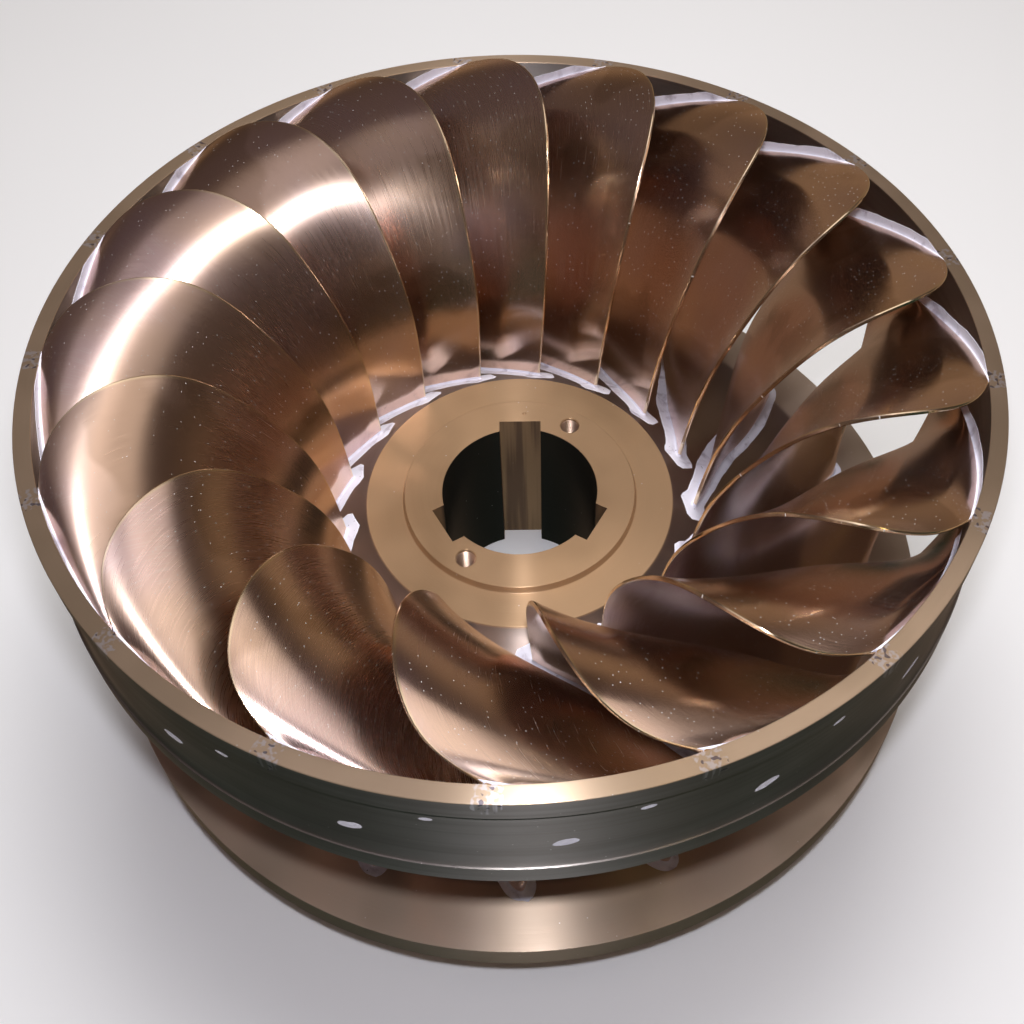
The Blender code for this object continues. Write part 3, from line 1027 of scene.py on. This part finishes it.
def blade_bronze():
    """Polished bronze, brushed from crown to band, with stains, scratches, dust and a painted highlight
    along the trailing edge.
    """
    material, shades, shader = new_material("blade_bronze")
    place = shades.place()
    polish = shades.add("ShaderNodeUVMap", {}, uv_map="polish")
    along, brushing, _ = shades.parts(shades.add("ShaderNodeUVMap", {}, uv_map="place"))

    brushed = shades.noise(shades.stretched(polish, MARKS_SCALE), 1.0, 1.0, 0.6, dimensions="2D")
    turned = shades.add("ShaderNodeVectorRotate", {"Vector": polish, "Angle": SCRATCH_TURN},
                        rotation_type="Z_AXIS")
    crossed = shades.noise(shades.stretched(turned, SCRATCH_SCALE), 1.0, 0.0, dimensions="2D")
    cloud = shades.noise(place, 8.0, 2.0)
    scratches = shades.times(shades.ramp(crossed, 0.62, 0.74), shades.ramp(cloud, 0.50, 0.42))
    stain = shades.ramp(cloud, 0.56, 0.60)
    dust = shades.dust(polish, 0.005, 0.0003, 0.25, "2D")
    # A lighter, yellower strip along the trailing edge: a painted highlight
    edge = shades.ramp(along, 0.010, 0.003)

    colour = shades.mix(shades.ramp(cloud, 0.35, 0.55), *BLADE_COLOURS)
    colour = shades.mix(shades.times(stain, 0.35), colour, STAIN_COLOUR)
    colour = shades.mix(shades.times(edge, 0.7), colour, TRAILING_HIGHLIGHT_COLOUR)
    colour = shades.mix(shades.times(scratches, 0.30), colour, SCRATCH_COLOUR)
    colour = shades.mix(dust, colour, DUST_COLOUR)

    roughness = shades.math("MULTIPLY_ADD", brushing, 0.14, 0.12)
    roughness = shades.math("MULTIPLY_ADD", brushed, 0.12, roughness)
    roughness = shades.math("MULTIPLY_ADD", dust, 0.4, roughness)
    metal = shades.math("SUBTRACT", 1.0, dust)
    tangent = shades.add("ShaderNodeTangent", {}, direction_type="UV_MAP", uv_map="polish")
    wire(shades, shader, Base_Color=colour, Metallic=metal, Roughness=roughness,
         Tangent=tangent, Anisotropic=BLADE_ANISOTROPY, Anisotropic_Rotation=BLADE_GRAIN_TURN)
    return material


def turned_metal(name, paints, roughness):
    """Turned bronze with rings of tool marks about Z; paints gives colour and metal by place."""
    material, shades, shader = new_material(name)
    place = shades.place()
    x, y, z = shades.parts(place)
    radius = shades.math("SQRT", shades.math("MULTIPLY_ADD", x, x, shades.times(y, y)))
    angle = shades.math("ARCTAN2", y, x)
    rings = shades.join(radius, z, shades.times(angle, RING_DRIFT))
    fine = shades.noise(shades.stretched(rings, FINE_RINGS), 1.0, 0.0)
    coarse = shades.noise(shades.stretched(rings, COARSE_RINGS), 1.0, 1.0)
    cloud = shades.noise(place, 10.0, 2.0)
    dust = shades.dust(place, 0.007, 0.0006, 0.25)
    colour, metal = paints(shades, place, (radius, angle, z), coarse, cloud)
    colour = shades.mix(shades.times(dust, 0.8), colour, DUST_COLOUR)
    rough = shades.math("MULTIPLY_ADD", cloud, 0.16, roughness - 0.08)
    rough = shades.math("MULTIPLY_ADD", fine, 0.08, rough)
    tangent = shades.add("ShaderNodeTangent", {}, direction_type="RADIAL", axis="Z")
    wire(shades, shader, Base_Color=colour, Metallic=metal, Roughness=rough,
         Normal=shades.bump(fine, RING_DEPTH, 0.6), Tangent=tangent,
         Anisotropic=TURNED_ANISOTROPY, Anisotropic_Rotation=TURNED_GRAIN_TURN)
    return material


def crown_colours(shades, place, round_place, coarse, cloud):
    """Golden on the hub, pinkish on the rim, streaky in the keyways; painted shade: a darker, greyer flow
    surface and a near-black bore wall.
    """
    radius = round_place[0]
    hub = shades.mix(shades.ramp(cloud, 0.4, 0.65), *HUB_COLOURS)
    hub = shades.mix(shades.ramp(coarse, 0.45, 0.62, 0.0, 0.12), hub, HUB_MARKS)
    # The flow surface between the blades is painted darker and greyer: painted shade of the passages
    flow = shades.mix(shades.ramp(cloud, 0.35, 0.7), *SHADED_FLOW_COLOURS)
    rim = shades.mix(shades.ramp(cloud, 0.4, 0.65), *RIM_COLOURS)
    streaks = shades.noise(shades.stretched(place, KEYWAY_STREAKS), 1.0, 2.0)
    keyway = shades.mix(shades.ramp(streaks, 0.42, 0.62), *KEYWAY_COLOURS)
    # The bore's wall is painted near black, painted shade inside the hole; further out the keyways are
    # streaky
    bore = shades.mix(shades.ramp(radius, BORE_RADIUS + 0.0002, BORE_RADIUS + 0.0010), BORE_PAINTED_SHADE_COLOUR, keyway)
    colour = shades.mix(shades.ramp(radius, HUB_RADIUS - HUB_SLOPE, HUB_RADIUS), hub, flow)
    at_rim = shades.ramp(radius, RIM_INNER_RADIUS - 0.004, RIM_INNER_RADIUS + 0.002)
    colour = shades.mix(at_rim, colour, rim)
    upright = shades.parts(shades.add("ShaderNodeNewGeometry", {}, "Normal"))[2]
    side = shades.ramp(shades.math("ABSOLUTE", upright), 0.5, 0.3)
    # Upright faces in the bore and keyways take the bore's painted shade and the keyway streaks
    keyway_end = BORE_RADIUS + KEYWAY_DEPTH + 0.0021
    inside = shades.times(side, shades.ramp(radius, keyway_end + 0.001, keyway_end))
    hub_share = shades.ramp(radius, HUB_RADIUS, HUB_RADIUS - HUB_SLOPE)
    rim_share = shades.times(at_rim, shades.ramp(side, 0.6, 0.4))
    dull_share = shades.math("MAXIMUM", hub_share, rim_share)
    metal = shades.math("SUBTRACT", 0.92, shades.times(0.34, dull_share))
    return shades.mix(inside, colour, bore), metal


def spot(shades, round_place, mark, cloud):
    """A painted oval on the band, at an angle past each blade's tip."""
    offset, height, half_width, half_height, tilt = mark
    _, angle, z = round_place
    degrees = shades.times(angle, 180.0 / math.pi)
    past_tip = shades.math("SUBTRACT", degrees, FIRST_TIP_ANGLE + offset)
    turns = shades.math("DIVIDE", past_tip, BLADE_STEP)
    centred = shades.math("SUBTRACT", turns, shades.math("ROUND", turns))
    sideways = shades.times(centred, math.radians(BLADE_STEP) * WALL_RADIUS)
    upwards = shades.math("SUBTRACT", z, height)
    cosine = math.cos(math.radians(tilt))
    sine = math.sin(math.radians(tilt))
    first = shades.math("ADD", shades.times(sideways, cosine), shades.times(upwards, sine))
    second = shades.math("SUBTRACT", shades.times(upwards, cosine), shades.times(sideways, sine))
    first = shades.times(first, 1.0 / half_width)
    second = shades.times(second, 1.0 / half_height)
    reach = shades.math("MULTIPLY_ADD", first, first, shades.times(second, second))
    return shades.ramp(shades.math("MULTIPLY_ADD", cloud, 1.2, reach), 1.65, 1.45)


def band_colours(shades, place, round_place, coarse, cloud):
    """Tan on the lip, greyer on the wall, with paint spots, and smears and ink at the tips."""
    radius, _, z = round_place
    lip = shades.mix(shades.ramp(cloud, 0.4, 0.65), *LIP_COLOURS)
    wall = shades.mix(shades.ramp(cloud, 0.35, 0.65), *WALL_COLOURS)
    wall = shades.mix(shades.ramp(coarse, 0.4, 0.7, 0.0, 0.4), wall, WALL_MARKS)
    colour = shades.mix(shades.ramp(z, *LIP_COLOUR_EDGE), wall, lip)
    cloud_fine = shades.noise(place, 120.0, 1.0)
    outside = shades.ramp(radius, WALL_RADIUS - 0.0006, WALL_RADIUS - 0.0002)
    land_bottom = LIP_HEIGHT - LAND_HEIGHT
    below_land = shades.ramp(z, land_bottom + 0.004, land_bottom)
    large, small = [spot(shades, round_place, mark, cloud_fine) for mark in WALL_SPOTS]
    spots = shades.times(shades.math("MAXIMUM", large, small), outside, below_land)
    streaks = shades.noise(shades.stretched(place, SMEAR_STREAKS), 1.0, 1.0)
    near_tip = spot(shades, round_place, TIP_SMEAR, cloud_fine)
    smear = shades.times(near_tip, shades.ramp(streaks, 0.45, 0.6))
    ink = shades.times(near_tip, shades.ramp(shades.noise(place, 260.0, 0.0), 0.66, 0.70))
    colour = shades.mix(shades.times(smear, 0.65), colour, SMEAR_COLOUR)
    colour = shades.mix(shades.times(ink, 0.7), colour, INK_COLOUR)
    metal = shades.ramp(z, *LIP_COLOUR_EDGE, 0.97, 0.84)
    metal = shades.times(metal, shades.math("SUBTRACT", 1.0, spots))
    return shades.mix(spots, colour, PAINT_COLOUR), metal


def ground_bronze():
    """Hand-ground bronze of the root fillets and the threads."""
    material, shades, shader = new_material("ground_bronze")
    place = shades.place()
    marks = shades.noise(place, 420.0, 4.0, 0.65)
    cloud = shades.noise(place, 18.0, 4.0)
    dust = shades.dust(place, 0.005, 0.0005, 0.3)
    colour = shades.mix(shades.ramp(cloud, 0.35, 0.65), *ROOT_COLOURS)
    colour = shades.mix(shades.times(dust, 0.8), colour, DUST_COLOUR)
    roughness = shades.math("MULTIPLY_ADD", marks, 0.2, 0.25)
    wire(shades, shader, Base_Color=colour, Metallic=0.92, Roughness=roughness,
         Normal=shades.bump(marks, 0.0001, 0.5))
    return material


def developer_paint():
    """Chalky developer, blotchy where it went on thin, with grit in it."""
    material, shades, shader = new_material("developer")
    place = shades.place()
    blotches = shades.noise(place, 45.0, 5.0, 0.6, 0.5)
    grains = shades.noise(place, 900.0, 2.0)
    grit = shades.dust(place, 0.006, 0.0007, 0.25)
    colour = shades.mix(shades.ramp(blotches, 0.50, 0.72), PAINT_COLOUR, THIN_PAINT_COLOUR)
    colour = shades.mix(shades.times(grit, 0.8), colour, GRIT_COLOUR)
    relief = shades.math("MULTIPLY_ADD", blotches, 2.0, grains)
    wire(shades, shader, Base_Color=colour, Roughness=0.85, Normal=shades.bump(relief, 0.0001, 0.4))
    return material


def make_crown(material):
    crown = link("crown_turned", turned_mesh("crown_turned", crown_outline()), material)
    cutters = [keyway_cutter(angle) for angle in KEYWAY_ANGLES]
    cutters += [hole_cutter(math.radians(angle)) for angle in HOLE_ANGLES]
    cutters.append(punch_cutter())
    cut_away(crown, cutters)
    crown.data.materials.clear()
    crown.data.materials.append(material)
    shade_round(crown.data)
    dress(crown, ["crown"])


def make_band(material):
    band = link("band_turned", turned_mesh("band_turned", band_outline()), material)
    shade_round(band.data)
    dress(band, ["band"])


def make_floor():
    builder = bmesh.new()
    bmesh.ops.create_grid(builder, x_segments=1, y_segments=1, size=FLOOR_HALF_SIZE)
    mesh = bpy.data.meshes.new("floor")
    builder.to_mesh(mesh)
    builder.free()
    material, shades, shader = new_material("pale_floor")
    mottle = shades.noise(shades.place(), 3.0, 0.0)
    wire(shades, shader, Base_Color=shades.mix(mottle, *FLOOR_COLOURS), Roughness=0.9)
    floor = link("floor", mesh, material)
    floor.location.z = -FLOOR_DROP
    floor.visible_glossy = False


def area_light(name, place, target, size, energy, colour, mirrored):
    data = bpy.data.lights.new(name, "AREA")
    data.shape = "RECTANGLE"
    data.size, data.size_y = size
    data.energy = energy
    data.color = colour
    light = new_object(name, data)
    light.location = place
    light.rotation_euler = (Vector(target) - Vector(place)).to_track_quat("-Z", "Y").to_euler()
    light.visible_camera = False
    light.visible_glossy = mirrored


def make_world():
    """A dim hall: a floor green in front and brown behind, brown walls, a grey-brown ceiling."""
    world = bpy.data.worlds.new("studio")
    bpy.context.scene.world = world
    world.use_nodes = True
    shades = Shades(world.node_tree)
    _, behind, height = shades.parts(shades.add("ShaderNodeTexCoord", {}, "Generated"))
    ground = shades.mix(shades.ramp(behind, -0.3, 0.3), *HALL_GROUND)
    lit_wall = shades.times(shades.ramp(behind, 0.1, 0.7), shades.ramp(height, 0.55, 0.20))
    walls = shades.mix(lit_wall, *HALL_WALLS)
    dim = shades.mix(shades.ramp(height, -0.12, 0.06), ground, walls)
    dim = shades.mix(shades.ramp(height, 0.35, 0.95), dim, HALL_CEILING)
    seen_directly = shades.add("ShaderNodeLightPath", {}, 0)
    sky = shades.mix(seen_directly, dim, BACKDROP_COLOUR)
    wire(shades, world.node_tree.nodes["Background"], Color=sky, Strength=1.0)


def make_camera():
    data = bpy.data.cameras.new("camera")
    data.sensor_width = 36.0
    data.lens = CAMERA_LENS
    data.shift_x, data.shift_y = CAMERA_SHIFT
    data.clip_start = 0.01
    camera = new_object("camera", data)
    camera.location = CAMERA_PLACE
    camera.rotation_euler = [math.radians(angle) for angle in CAMERA_TURN]
    bpy.context.scene.camera = camera


make_camera()
make_floor()
make_world()
for light in LIGHTS:
    area_light(*light)
bpy.context.scene.view_settings.view_transform = "Standard"

crown_bronze = turned_metal("crown_bronze", crown_colours, 0.32)
band_bronze = turned_metal("band_bronze", band_colours, 0.34)
fillet_bronze = ground_bronze()
developer = developer_paint()
make_crown(crown_bronze)
make_band(band_bronze)
make_blades(blade_bronze())
crown_foot = Foot(CrownSeat())
band_foot = Foot(BandSeat())
make_fillets("fillets_crown", crown_foot, fillet_bronze)
make_fillets("fillets_band", band_foot, fillet_bronze)
make_crown_paint(crown_foot, developer)
make_band_paint(band_foot, developer)
make_threads(fillet_bronze)
